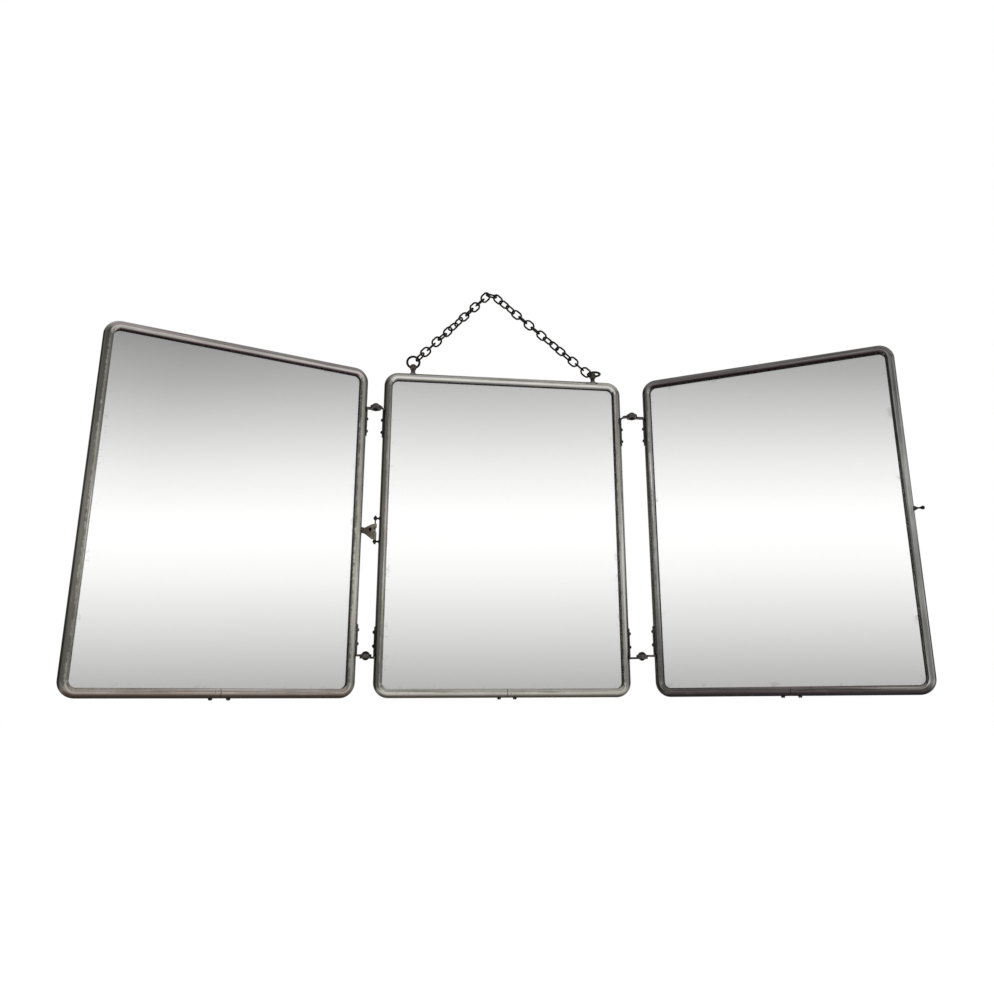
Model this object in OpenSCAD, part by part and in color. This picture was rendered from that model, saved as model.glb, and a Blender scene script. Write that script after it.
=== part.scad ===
// Trifold vanity mirror: three mirror leaves, each framed in a loop of slit
// metal tube. Two wings are hinged to the middle leaf and fold forward over it,
// and the whole hangs by a chain from one nail.
// +X is to the viewer's right, +Y is away from the viewer, +Z is up, and the
// origin is the middle of the chain link that sits on the nail.

/* [Leaf] */
// Width of one leaf, over its tube
leaf_w = 230; // [180:1:260]
// Height of one leaf, over its tube
leaf_h = 300; // [240:1:360]
// Outer diameter of the frame tube
tube_d = 8.5; // [8:0.1:9.5]
// Wall thickness of the frame tube
tube_wall = 0.6; // [0.4:0.05:0.8]
// Bend radius of the frame's corners, at the middle of the tube
corner_r = 9; // [7:0.5:14]
// Thickness of the mirror glass
glass_t = 3; // [2.4:0.1:3.2]
// Thickness of the card behind the glass
card_t = 0.8; // [0.4:0.1:1]
// Thickness of the tin back
back_t = 0.4; // [0.3:0.05:0.6]
// Play of glass, card and tin in the tube's slit, on each face
slit_gap = 0.2; // [0.1:0.05:0.3]
// How far the glass reaches past the middle of the tube
pane_reach = 1.5; // [1:0.1:1.6]

/* [Seam] */
// Distance of the frame's seam from the middle of the bottom rail
seam_x = 2.2; // [-20:0.1:20]
// Width of the seam between the tube's two ends
seam_gap = 0.5; // [0.1:0.1:0.8]
// Distance between the two seam screws
seam_pitch = 14; // [10:0.5:20]
// Length of the splice bar inside the tube
splice_l = 28; // [26:1:40]
// Thickness of the splice bar, at its middle
splice_t = 1.8; // [1.2:0.1:1.9]
// Play between the splice bar and the tube
splice_gap = 0.05; // [0.02:0.01:0.1]
// Shank diameter of a seam screw
screw_d = 1.8; // [1.4:0.1:2.2]
// Head diameter of a seam screw
screw_head_d = 3.6; // [3:0.1:4.4]
// Head height of a seam screw
screw_head_h = 1.7; // [1.2:0.1:2.2]
// Width of a seam screw's slot
screw_slot_w = 0.7; // [0.4:0.1:0.9]
// Depth of a seam screw's slot
screw_slot_t = 0.8; // [0.4:0.1:1]

/* [Hinges] */
// Sideways reach of the left hinges' arms, from tube middle to pivot
left_reach = 11.4; // [11.2:0.1:14]
// Sideways reach of the right hinges' arms, from tube middle to pivot
right_reach = 13.2; // [12:0.1:16]
// Clear space between two leaves folded on each other
fold_gap = 1; // [0.8:0.1:2]
// Height of the lower hinges above the foot of the leaf
low_hinge_z = 35; // [30:1:60]
// Distance of the upper hinges below the top of the leaf
high_hinge_drop = 37.4; // [32:0.2:60]
// Thickness of a hinge arm
arm_t = 1.7; // [1.2:0.1:2]
// Width of a hinge arm between its eye and its leg
arm_w = 4.4; // [3.6:0.1:4.6]
// Diameter of the eye at a hinge arm's end
eye_d = 10.2; // [9:0.1:10.4]
// Play between the two arms of a hinge
arm_gap = 0.1; // [0.05:0.05:0.2]
// Drop of the upper middle arms from their eye to their foot
arm_step = 1.5; // [0.5:0.1:1.8]
// Length of that step along the arm
arm_step_l = 0.7; // [0.5:0.05:0.8]
// Thickness of the leg that lies against the tube
leg_t = 0.8; // [0.5:0.1:1]
// Width of the leg that lies against the tube
leg_w = 6; // [5:0.2:6.6]
// Length of the leg that lies against the tube
leg_l = 27.5; // [26:0.5:32]
// Distance from an arm to its first leg rivet
rivet_first = 10; // [8:0.2:12]
// Distance between the two leg rivets
rivet_pitch = 12; // [8:0.2:13]
// Shank diameter of a leg rivet
rivet_d = 1.8; // [1.4:0.1:2]
// Head diameter of a leg rivet
rivet_head_d = 3.4; // [2.8:0.1:4]
// Head height of a leg rivet
rivet_head_h = 1.3; // [0.8:0.1:1.6]
// Shank diameter of a pivot rivet
pivot_d = 3; // [2.4:0.1:3.6]
// Radial play of an arm on its pivot rivet
pivot_play = 0.05; // [0.03:0.01:0.08]
// Diameter of a pivot rivet's upper dome
pivot_head_d = 7.6; // [6:0.1:8.4]
// Height of a pivot rivet's upper dome
pivot_head_h = 2.7; // [1.8:0.1:3.2]
// Diameter of a pivot rivet's lower dome
pivot_foot_d = 5.8; // [5:0.1:7]
// Height of a pivot rivet's lower dome
pivot_foot_h = 1.6; // [1:0.1:2.2]

/* [Wings] */
// Angle of the left wing forward from flat
left_open = 23.2; // [0:0.1:90]
// Angle of the right wing forward from flat
right_open = 33.1; // [0:0.1:90]

/* [Hasp] */
// Height of the hasp's middle above the foot of the leaf
hasp_z = 145.8; // [120:0.2:170]
// Distance of the hasp's pin from the side of the rail
hasp_out = 3.4; // [3.2:0.1:4]
// Height of the hasp at its pin
hasp_h = 14.2; // [12:0.2:18]
// Thickness of the hasp
hasp_t = 0.8; // [0.6:0.05:1]
// Angle of the hasp back from the plane of the middle leaf
hasp_back = 24; // [21:0.5:60]
// Lift of the hasp on its pin
hasp_lift = 3; // [2:0.1:4]
// Play between the hasp and the studs above and below it
hasp_gap = 0.15; // [0.05:0.05:0.3]
// Diameter of the hasp's pin
pin_d = 1.2; // [1:0.05:1.4]
// Radial play on the hasp's pin
pin_play = 0.05; // [0.03:0.01:0.08]
// Head diameter of the hasp's pin
pin_head_d = 2; // [1.7:0.1:2.4]
// Head height of the hasp's pin
pin_head_h = 0.5; // [0.3:0.1:0.8]
// Outer diameter of the hasp's knuckles
knuckle_d = 2.8; // [2.4:0.1:3.2]
// Height of the notch between the hasp's knuckles
notch_h = 4; // [2:0.2:6]
// Distance from the hasp's pin to its waist
waist_x = 10.2; // [8:0.2:12]
// Height of the hasp's waist
waist_h = 5.6; // [4.5:0.1:7]
// Rise of the waist over the hasp's middle
waist_rise = 1.3; // [0:0.1:2.5]
// Distance from the hasp's pin to its stamped drop
drop_x = 4.6; // [3.6:0.1:6]
// Width of the stamped drop
drop_d = 2.6; // [1.6:0.1:3]
// Length of the stamped drop's tail
drop_tail = 3; // [2:0.1:3.6]
// Depth of the stamped drop
drop_t = 0.5; // [0.2:0.05:0.5]
// Ball diameter of a pin stud
pin_stud_d = 3.8; // [3:0.1:4.4]
// Neck diameter of a pin stud
pin_neck_d = 1.5; // [1.2:0.1:1.8]
// Diameter of a pin stud's foot on the tube
pin_foot_d = 3.2; // [2.4:0.1:3.6]
// Height of the catch stud above the foot of its leaf
catch_z = 151; // [120:0.2:180]
// Diameter of the catch stud's cone at the tube
catch_foot_d = 4.5; // [3.6:0.1:5]
// Diameter of the catch stud's neck
catch_neck_d = 1.4; // [1.1:0.1:1.6]
// Diameter of the catch stud's head
catch_head_d = 3.4; // [2.8:0.1:3.6]
// Distance of the catch stud's tip from the side of the rail
catch_l = 8.2; // [6.5:0.1:9]
// Play of the catch stud in the hasp
catch_play = 0.25; // [0.15:0.05:0.4]
// Rim of the hasp's end outside the catch hole
catch_rim = 2.4; // [1.6:0.1:3]

/* [Chain] */
// Distance of a chain stud from the side of the leaf
stud_inset = 26.7; // [20:0.1:60]
// Height of a chain stud's hole above the top rail
stud_rise = 6.4; // [6:0.1:9]
// Ball diameter of a chain stud
stud_ball_d = 7; // [6:0.1:8]
// Neck diameter of a chain stud
stud_neck_d = 4.2; // [3:0.1:4.8]
// Diameter of a chain stud's foot on the tube
stud_foot_d = 6.4; // [5:0.1:7.4]
// Hole diameter in a chain stud
stud_hole_d = 3.4; // [3.2:0.1:3.6]
// Mouth diameter of the hole in a chain stud
stud_mouth_d = 4.2; // [4:0.1:4.8]
// Outer diameter of a ring
ring_d = 13.9; // [13:0.1:18]
// Wire diameter of a ring
ring_wire = 2.2; // [1.8:0.1:2.3]
// How far a ring's wire lies off the middle of its stud's hole
ring_sink = 0.4; // [0.3:0.05:0.5]
// Angle of the first link's seat on the left ring
ring_seat = 40; // [20:1:60]
// Slope of the last link where it pulls on the right ring
ring_pull = 41; // [30:1:60]
// Play of the last link on the right ring
ring_gap = 0.2; // [0.2:0.05:0.6]
// Number of links left of the nail link
left_links = 13; // [9:1:18]
// Number of links right of the nail link
right_links = 15; // [9:1:18]
// Inner length of a chain link
link_l = 8.3; // [7.8:0.05:9]
// Inner width of a chain link
link_w = 5.5; // [5.2:0.1:6.2]
// Wire diameter of a chain link
link_wire = 1.8; // [1.4:0.1:1.9]
// Slack for each link of the left side
left_slack = 0.62; // [0.1:0.01:0.8]
// Slack for each link of the right side
right_slack = 0.1; // [0.1:0.01:0.8]
// Slack for the nail link
nail_slack = 1.25; // [0.1:0.01:1.4]
// Tilt of the nail link down to the right
nail_tilt = 12; // [0:1:20]
// Natural twist of the chain from link to link
link_twist = 11.2; // [0:0.1:15]

/* [Fixings] */
// Play of a shank in its hole
shank_gap = 0.03; // [0.02:0.01:0.06]
// Play between a part and the tube that it is fixed to
seat_gap = 0.03; // [0.02:0.01:0.08]
// Thickness of the clenched end of a shank inside the tube
clench_t = 0.7; // [0.4:0.05:0.8]
// How much wider than its shank a clenched end is, on each side
clench_rim = 0.4; // [0.2:0.05:0.5]

/* [Hidden] */
$fn = 48;

// How far a cut runs past the face that it goes through.
past = 1;

tube_r = tube_d / 2;
bore_r = tube_r - tube_wall;
rail_x = leaf_w / 2 - tube_r;
rail_z = leaf_h / 2 - tube_r;
stack_t = glass_t + card_t + back_t;
slit_w = stack_t + 2 * slit_gap;

nickel = [0.55, 0.54, 0.5];
dark_steel = [0.2, 0.19, 0.17];
silvered = [0.86, 0.88, 0.88];
card_brown = [0.45, 0.36, 0.25];
tin_grey = [0.5, 0.5, 0.49];
hasp_brown = [0.4, 0.37, 0.33];

left_off = (tube_d + fold_gap) / 2;
right_off = tube_d + fold_gap;
low_top_z = low_hinge_z + arm_gap / 2;
low_under_z = low_hinge_z - arm_gap / 2 - arm_t;
high_hinge_z = leaf_h - high_hinge_drop;
high_top_z = high_hinge_z + arm_gap / 2;
high_under_z = high_hinge_z - arm_gap / 2 - arm_t;

centre_rivets = arm_rivet_heights(high_top_z - arm_step, low_under_z);
wing_rivets = arm_rivet_heights(high_under_z, low_top_z);

hasp_low_z = hasp_z - hasp_h / 2;
hasp_top_z = hasp_z + hasp_h / 2;
pin_stud_r = pin_stud_d / 2;
low_stud_z = hasp_low_z - hasp_gap - pin_stud_r;
high_stud_z = hasp_top_z + hasp_lift + hasp_gap + pin_stud_r;
catch_x = 2 * right_off;
catch_hole_r = catch_head_d / 2 + catch_play;
catch_slot_r = catch_neck_d / 2 + catch_play;

stud_x = leaf_w / 2 - stud_inset;
stud_z = leaf_h + stud_rise;
ring_r = (ring_d - ring_wire) / 2;
ring_bore_r = ring_r - ring_wire / 2;

left_pitch = link_l - left_slack;
right_pitch = link_l - right_slack;
left_ring_at = [-stud_x, 0, stud_z + ring_r - ring_sink];
right_ring_at = [stud_x, ring_sink - ring_r, stud_z];
left_start = left_ring_at + ring_bore_r * [cos(ring_seat), 0, sin(ring_seat)];
right_start = right_ring_at - [ring_r, 0, 0]
    + (ring_wire / 2 + ring_gap) * [cos(ring_pull), 0, -sin(ring_pull)];
nail_link_span = (link_l - nail_slack) * [cos(nail_tilt), 0, -sin(nail_tilt)];
left_end = chain_peak();
right_end = left_end + nail_link_span;
nail_at = (left_end + right_end) / 2;

// Heights of the two rivets under an upper arm and over a lower arm.
function arm_rivet_heights(upper_z, lower_z) = [
    for (k = [0, 1]) upper_z + arm_t / 2 - rivet_first - k * rivet_pitch,
    for (k = [0, 1]) lower_z + arm_t / 2 + rivet_first + k * rivet_pitch
];

// Where the left side of the chain ends: both sides keep their length, and the
// nail link spans the rest.
function chain_peak() =
    let (
        goal = right_start - nail_link_span,
        left_len = left_links * left_pitch,
        right_len = sqrt(pow(right_links * right_pitch, 2) - pow(goal.y, 2)),
        dx = goal.x - left_start.x,
        dz = goal.z - left_start.z,
        span = sqrt(dx * dx + dz * dz),
        foot = (left_len * left_len - right_len * right_len + span * span)
            / (2 * span),
        rise = sqrt(left_len * left_len - foot * foot)
    )
    [
        left_start.x + (foot * dx - rise * dz) / span,
        0,
        left_start.z + (foot * dz + rise * dx) / span
    ];

// Roll of link number i about the chain, counted from the left ring.
function link_roll(i) = 90 * (i % 2) + link_twist * (i - 2);

// ---- Frames of reference -------------------------------------------------

// The middle leaf's own frame has its origin at the middle of the leaf's foot.
module centre_place() {
    translate(-nail_at)
        children();
}

module left_place() {
    centre_place()
        translate([-rail_x - left_reach, -left_off, 0])
            rotate([0, 0, left_open])
                translate([-left_reach - rail_x, left_off, 0])
                    children();
}

module right_place() {
    centre_place()
        translate([rail_x + right_reach, -right_off, 0])
            rotate([0, 0, -right_open])
                translate([right_reach + rail_x, right_off, 0])
                    children();
}

// Puts something made flat, face up, on its feet with its face to the viewer.
module stand() {
    translate([0, 0, leaf_h / 2])
        rotate([90, 0, 0])
            children();
}

// A side rail's frame: origin on the tube's middle line, +X out of the leaf.
module on_rail(side) {
    translate([side * rail_x, 0, 0])
        mirror([side < 0 ? 1 : 0, 0, 0])
            children();
}

// Turns something that stands along +Z to point out of a rail, at height z.
module out_of_rail(side, z) {
    on_rail(side)
        translate([0, 0, z])
            rotate([0, 90, 0])
                children();
}

module out_of_top(x) {
    translate([x, 0, leaf_h - tube_r])
        children();
}

module out_of_bottom(x) {
    translate([x, 0, tube_r])
        rotate([180, 0, 0])
            children();
}

// ---- Frame, glass and backing --------------------------------------------

// The slit tube's section, with the slit towards -X.
module tube_section() {
    difference() {
        circle(r = tube_r);
        circle(r = bore_r);
        translate([-tube_d, -slit_w / 2])
            square([tube_d, slit_w]);
    }
}

// A straight of slit tube with its middle at the origin, along Y.
module tube_straight(l) {
    rotate([90, 0, 0])
        translate([0, 0, -l / 2])
            linear_extrude(l)
                tube_section();
}

module tube_corner() {
    rotate_extrude(angle = 90)
        translate([corner_r, 0])
            tube_section();
}

module tube_loop() {
    side_l = 2 * (rail_z - corner_r);
    end_l = 2 * (rail_x - corner_r);
    for (turn = [0, 180])
        rotate([0, 0, turn]) {
            translate([rail_x, 0, 0])
                tube_straight(side_l);
            translate([0, rail_z, 0])
                rotate([0, 0, 90])
                    tube_straight(end_l);
            translate([rail_x - corner_r, rail_z - corner_r, 0])
                tube_corner();
            translate([-rail_x + corner_r, rail_z - corner_r, 0])
                rotate([0, 0, 90])
                    tube_corner();
        }
}

// A hole through one wall of a rail, for a shank that stands along +Z.
module shank_hole(d) {
    cylinder(d = d + 2 * shank_gap, h = tube_d);
}

module screw_places() {
    for (end = [-1, 1])
        out_of_bottom(seam_x + end * seam_pitch / 2)
            children();
}

// A leaf's tube, bent round the glass, with its seam and the holes that every
// leaf has. Its own holes are taken out by the children.
module frame_tube() {
    color(nickel)
        difference() {
            stand()
                tube_loop();
            translate([seam_x, 0, tube_r])
                cube([seam_gap, 2 * tube_d, 2 * tube_d], center = true);
            screw_places()
                shank_hole(screw_d);
            children();
        }
}

// A sheet that fills the loop, from one depth to another behind the face.
module pane(front, t) {
    r = corner_r + pane_reach;
    x = rail_x - corner_r;
    z = rail_z - corner_r;
    stand()
        translate([0, 0, stack_t / 2 - front - t])
            linear_extrude(t) {
                square([2 * (x + r), 2 * z], center = true);
                square([2 * x, 2 * (z + r)], center = true);
                for (sx = [-1, 1], sz = [-1, 1])
                    translate([sx * x, sz * z])
                        circle(r = r);
            }
}

module glass() {
    color(silvered)
        pane(0, glass_t);
}

module card() {
    color(card_brown)
        pane(glass_t, card_t);
}

module tin_back() {
    color(tin_grey)
        pane(glass_t + card_t, back_t);
}

// The bar inside the tube that both of its ends are screwed to.
module splice() {
    r = bore_r - splice_gap;
    color(dark_steel)
        difference() {
            translate([seam_x - splice_l / 2, 0, tube_r])
                rotate([0, 90, 0])
                    linear_extrude(splice_l)
                        intersection() {
                            circle(r = r);
                            translate([r - splice_t, -r])
                                square([splice_t, 2 * r]);
                        }
            screw_places()
                shank_hole(screw_d);
        }
}

// ---- Screws, rivets and studs --------------------------------------------

// A low dome on the plane z = 0.
module dome(d, h) {
    ball_r = (d * d / 4 + h * h) / (2 * h);
    intersection() {
        translate([0, 0, h - ball_r])
            sphere(r = ball_r);
        cylinder(d = d + past, h = h + past);
    }
}

// A shank through the tube's wall, from its clenched end inside up to top.
module clenched_shank(d, top) {
    clench_r = d / 2 + clench_rim;
    end_z = sqrt(pow(bore_r, 2) - pow(clench_r, 2)) - seat_gap;
    translate([0, 0, end_z - clench_t])
        cylinder(d = d, h = top - end_z + clench_t);
    translate([0, 0, end_z - clench_t])
        cylinder(r = clench_r, h = clench_t);
}

module seam_screw() {
    seat = tube_r + seat_gap;
    foot = bore_r - splice_gap - splice_t;
    difference() {
        union() {
            translate([0, 0, foot])
                cylinder(d = screw_d, h = seat - foot);
            translate([0, 0, seat])
                dome(screw_head_d, screw_head_h);
        }
        translate([0, 0, seat + screw_head_h])
            cube([screw_slot_w, tube_d, 2 * screw_slot_t], center = true);
    }
}

module seam_screws() {
    color(dark_steel)
        screw_places()
            seam_screw();
}

module arm_rivet() {
    seat = tube_r + 2 * seat_gap + leg_t;
    clenched_shank(rivet_d, seat);
    translate([0, 0, seat])
        dome(rivet_head_d, rivet_head_h);
}

module arm_rivets(side, heights) {
    color(dark_steel)
        for (z = heights)
            out_of_rail(side, z)
                arm_rivet();
}

module arm_rivet_holes(side, heights) {
    for (z = heights)
        out_of_rail(side, z)
            shank_hole(rivet_d);
}

// A stud with a ball on a waisted neck, its foot cut to sit on the tube.
module ball_stud(ball_z, ball_d, neck_d, foot_d) {
    seat = tube_r + seat_gap;
    flare_h = (foot_d - neck_d) / 2;
    clenched_shank(neck_d / 2, tube_r + flare_h);
    difference() {
        union() {
            cylinder(d = neck_d, h = ball_z);
            cylinder(d = foot_d, h = tube_r);
            translate([0, 0, tube_r])
                cylinder(d1 = foot_d, d2 = neck_d, h = flare_h);
            translate([0, 0, ball_z])
                sphere(d = ball_d);
        }
        rotate([0, 90, 0])
            cylinder(r = seat, h = 2 * foot_d, center = true);
        translate([0, 0, -tube_d])
            cylinder(d = 2 * foot_d, h = tube_d);
    }
}

// ---- Hinges --------------------------------------------------------------

// The strip of a hinge arm seen from above: it runs from the tube's middle to
// the pivot and ends in a round eye.
module arm_plan(reach, off) {
    span = sqrt(reach * reach + off * off);
    half = arm_w / 2;
    across = half * [off, reach] / span;
    pivot = [reach, -off];
    polygon([[0, half], [0, -half], pivot - across, pivot + across]);
    translate(pivot)
        circle(d = eye_d);
}

// The strip seen from the front: it steps down by drop between eye and tube.
module arm_side(reach, eye_z, drop) {
    foot_end = tube_r + leg_t / 2;
    step_end = foot_end + arm_step_l;
    tip = reach + eye_d;
    polygon([
        [0, eye_z - drop], [foot_end, eye_z - drop], [step_end, eye_z],
        [tip, eye_z], [tip, eye_z + arm_t], [step_end, eye_z + arm_t],
        [foot_end, eye_z + arm_t - drop], [0, eye_z + arm_t - drop]
    ]);
}

// An arm in its rail's frame. way is -1 where its leg runs down the tube and 1
// where it runs up.
module arm(reach, off, eye_z, drop, way, rivets) {
    foot_z = eye_z - drop;
    leg_z = way > 0 ? foot_z : foot_z + arm_t - leg_l;
    leg_r = tube_r + seat_gap;
    leg_arc = 2 * asin(leg_w / 2 / (leg_r + leg_t / 2));
    difference() {
        union() {
            translate([0, 0, leg_z])
                rotate([0, 0, -leg_arc / 2])
                    rotate_extrude(angle = leg_arc)
                        translate([leg_r, 0])
                            square([leg_t, leg_l]);
            difference() {
                intersection() {
                    translate([0, 0, foot_z - arm_t])
                        linear_extrude(drop + 3 * arm_t)
                            arm_plan(reach, off);
                    rotate([90, 0, 0])
                        linear_extrude(2 * (off + eye_d), center = true)
                            arm_side(reach, eye_z, drop);
                }
                translate([0, 0, foot_z - arm_t])
                    cylinder(r = leg_r + leg_t / 2, h = drop + 3 * arm_t);
            }
        }
        translate([reach, -off, eye_z - arm_t])
            cylinder(r = pivot_d / 2 + pivot_play, h = 3 * arm_t);
        for (z = rivets)
            translate([0, 0, z])
                rotate([0, 90, 0])
                    shank_hole(rivet_d);
    }
}

module centre_top_arm(side, reach, off) {
    color(dark_steel)
        centre_place()
            on_rail(side)
                arm(reach, off, high_top_z, arm_step, -1, centre_rivets);
}

module centre_low_arm(side, reach, off) {
    color(dark_steel)
        centre_place()
            on_rail(side)
                arm(reach, off, low_under_z, 0, 1, centre_rivets);
}

module wing_top_arm(side, reach, off) {
    color(dark_steel)
        on_rail(side)
            arm(reach, off, high_under_z, 0, -1, wing_rivets);
}

module wing_low_arm(side, reach, off) {
    color(dark_steel)
        on_rail(side)
            arm(reach, off, low_top_z, 0, 1, wing_rivets);
}

// A rivet through both eyes of a hinge whose arms meet at height z.
module pivot_rivet(side, reach, off, z) {
    half = arm_t + arm_gap;
    color(dark_steel)
        centre_place()
            on_rail(side)
                translate([reach, -off, z]) {
                    cylinder(d = pivot_d, h = 2 * half, center = true);
                    translate([0, 0, half])
                        dome(pivot_head_d, pivot_head_h);
                    translate([0, 0, -half])
                        mirror([0, 0, 1])
                            dome(pivot_foot_d, pivot_foot_h);
                }
}

// ---- Hasp and catch ------------------------------------------------------

// The hasp's frame: its pin along Z through the origin, the plate along +X.
module hasp_place() {
    centre_place()
        translate([-leaf_w / 2 - hasp_out, 0, 0])
            rotate([0, 0, 180 - hasp_back])
                children();
}

module pin_stud() {
    difference() {
        ball_stud(tube_r + hasp_out, pin_stud_d, pin_neck_d, pin_foot_d);
        translate([0, 0, tube_r + hasp_out])
            rotate([0, 90, 0])
                cylinder(
                    r = pin_d / 2 + pin_play,
                    h = 2 * pin_stud_d,
                    center = true
                );
    }
}

module hasp_plate_outline() {
    waist_z = hasp_z + waist_rise;
    end_z = catch_z - hasp_lift / 2;
    end_r = catch_hole_r + catch_rim;
    shoulder = knuckle_d;
    polygon([
        [0, hasp_low_z], [shoulder, hasp_low_z],
        [waist_x, waist_z - waist_h / 2],
        [catch_x, end_z - waist_h / 2], [catch_x, end_z + waist_h / 2],
        [waist_x, waist_z + waist_h / 2],
        [shoulder, hasp_top_z], [0, hasp_top_z]
    ]);
    translate([catch_x, end_z])
        circle(r = end_r);
}

// The notch and the keyhole for the catch stud.
module hasp_plate_cuts() {
    polygon([
        [-past, hasp_z + waist_rise - notch_h / 2],
        [0, hasp_z + waist_rise - notch_h / 2],
        [knuckle_d / 2, hasp_z + waist_rise],
        [0, hasp_z + waist_rise + notch_h / 2],
        [-past, hasp_z + waist_rise + notch_h / 2]
    ]);
    translate([catch_x, catch_z - hasp_lift])
        circle(r = catch_hole_r);
    translate([catch_x, catch_z])
        circle(r = catch_slot_r);
    translate([catch_x - catch_slot_r, catch_z - hasp_lift])
        square([2 * catch_slot_r, hasp_lift]);
}

// The drop, stamped into the face that the viewer sees.
module hasp_drop() {
    drop_z = hasp_z + waist_rise + drop_d / 2;
    translate([drop_x, hasp_t / 2 - drop_t, drop_z])
        rotate([-90, 0, 0])
            linear_extrude(drop_t + past) {
                circle(d = drop_d);
                polygon([
                    [-drop_d / 2, 0], [drop_d / 2, 0], [0, drop_tail]
                ]);
            }
}

// ---- Chain ---------------------------------------------------------------

module ring() {
    rotate_extrude()
        translate([ring_r, 0])
            circle(d = ring_wire);
}

// A link round the origin: long along X, flat in the XZ plane.
module link() {
    bend_r = (link_w + link_wire) / 2;
    straight = link_l + link_wire - 2 * bend_r;
    for (side = [-1, 1]) {
        translate([side * straight / 2, 0, 0])
            rotate([90, 0, 0])
                rotate([0, 0, -90 * side])
                    rotate_extrude(angle = 180)
                        translate([bend_r, 0])
                            circle(d = link_wire);
        translate([-straight / 2, 0, side * bend_r])
            rotate([0, 90, 0])
                cylinder(d = link_wire, h = straight);
    }
}

// A link with its middle at a point, long along a direction, rolled about it.
module link_along(at, way, roll) {
    flat = sqrt(way.x * way.x + way.y * way.y);
    translate(at)
        rotate([0, 0, atan2(way.y, way.x)])
            rotate([0, -atan2(way.z, flat), 0])
                rotate([roll, 0, 0])
                    link();
}

// Links from a to b, the first of them number first from the left ring.
module chain_side(a, b, links, first) {
    color(dark_steel)
        centre_place()
            for (k = [0 : links - 1])
                link_along(
                    a + (b - a) * (k + 0.5) / links,
                    b - a,
                    link_roll(first + k)
                );
}

module chain_stud(side) {
    color(dark_steel)
        centre_place()
            out_of_top(side * stud_x)
                difference() {
                    ball_stud(
                        tube_r + stud_rise, stud_ball_d, stud_neck_d,
                        stud_foot_d
                    );
                    translate([0, 0, tube_r + stud_rise])
                        stud_hole();
                }
}

// A hole along X, opened out at both mouths so that a ring turns in it.
module stud_hole() {
    half = stud_ball_d / 2;
    throat = stud_ball_d / 8;
    for (turn = [0, 180])
        rotate([0, 90, turn]) {
            cylinder(d = stud_hole_d, h = half + past);
            translate([0, 0, throat])
                cylinder(
                    d1 = stud_hole_d, d2 = stud_mouth_d, h = half - throat
                );
        }
}

// ---- Nodes ---------------------------------------------------------------

module centre_frame() {
    centre_place()
        frame_tube() {
            for (side = [-1, 1]) {
                arm_rivet_holes(side, centre_rivets);
                out_of_top(side * stud_x)
                    shank_hole(stud_neck_d / 2);
            }
            for (z = [low_stud_z, high_stud_z])
                out_of_rail(-1, z)
                    shank_hole(pin_neck_d / 2);
        }
}

module left_frame() {
    left_place()
        frame_tube()
            arm_rivet_holes(1, wing_rivets);
}

module right_frame() {
    right_place()
        frame_tube() {
            arm_rivet_holes(-1, wing_rivets);
            out_of_rail(1, catch_z)
                shank_hole(catch_neck_d);
        }
}

module hasp_studs() {
    color(dark_steel)
        centre_place()
            for (z = [low_stud_z, high_stud_z])
                out_of_rail(-1, z)
                    pin_stud();
}

module hasp_pin() {
    reach = pin_stud_r + seat_gap;
    color(dark_steel)
        hasp_place() {
            translate([0, 0, low_stud_z - reach])
                cylinder(d = pin_d, h = high_stud_z - low_stud_z + 2 * reach);
            translate([0, 0, high_stud_z + reach])
                cylinder(d = pin_head_d, h = pin_head_h);
            translate([0, 0, low_stud_z - reach - pin_head_h])
                cylinder(d = pin_head_d, h = pin_head_h);
        }
}

module hasp_plate() {
    color(hasp_brown)
        hasp_place()
            difference() {
                union() {
                    rotate([90, 0, 0])
                        linear_extrude(hasp_t, center = true)
                            hasp_plate_outline();
                    translate([0, 0, hasp_low_z])
                        cylinder(d = knuckle_d, h = hasp_h);
                }
                rotate([90, 0, 0])
                    linear_extrude(2 * knuckle_d, center = true)
                        hasp_plate_cuts();
                hasp_drop();
                translate([-knuckle_d, -knuckle_d, hasp_z + waist_rise - notch_h / 2])
                    cube([knuckle_d, 2 * knuckle_d, notch_h]);
                translate([0, 0, hasp_low_z - past])
                    cylinder(r = pin_d / 2 + pin_play, h = hasp_h + 2 * past);
            }
}

// The stud on the right wing's free rail that the hasp's keyhole drops over.
module catch_stud() {
    seat = tube_r + seat_gap;
    neck_z = tube_r + hasp_out;
    neck_half = hasp_t / 2 + catch_play;
    head_r = catch_head_d / 2;
    color(dark_steel)
        right_place()
            out_of_rail(1, catch_z) {
                clenched_shank(catch_neck_d, neck_z);
                difference() {
                    union() {
                        cylinder(d = catch_foot_d, h = tube_r);
                        translate([0, 0, tube_r])
                            cylinder(
                                d1 = catch_foot_d, d2 = catch_neck_d,
                                h = hasp_out - neck_half
                            );
                        cylinder(d = catch_neck_d, h = tube_r + catch_l - head_r);
                        translate([0, 0, neck_z + neck_half])
                            cylinder(
                                d1 = catch_neck_d, d2 = catch_head_d,
                                h = catch_l - hasp_out - neck_half - head_r
                            );
                        translate([0, 0, tube_r + catch_l - head_r])
                            dome(catch_head_d, head_r);
                    }
                    rotate([0, 90, 0])
                        cylinder(r = seat, h = 2 * catch_foot_d, center = true);
                    translate([0, 0, -tube_d])
                        cylinder(d = 2 * catch_foot_d, h = tube_d);
                }
            }
}

module left_ring() {
    color(dark_steel)
        centre_place()
            translate(left_ring_at)
                rotate([90, 0, 0])
                    ring();
}

module right_ring() {
    color(dark_steel)
        centre_place()
            translate(right_ring_at)
                ring();
}

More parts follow.
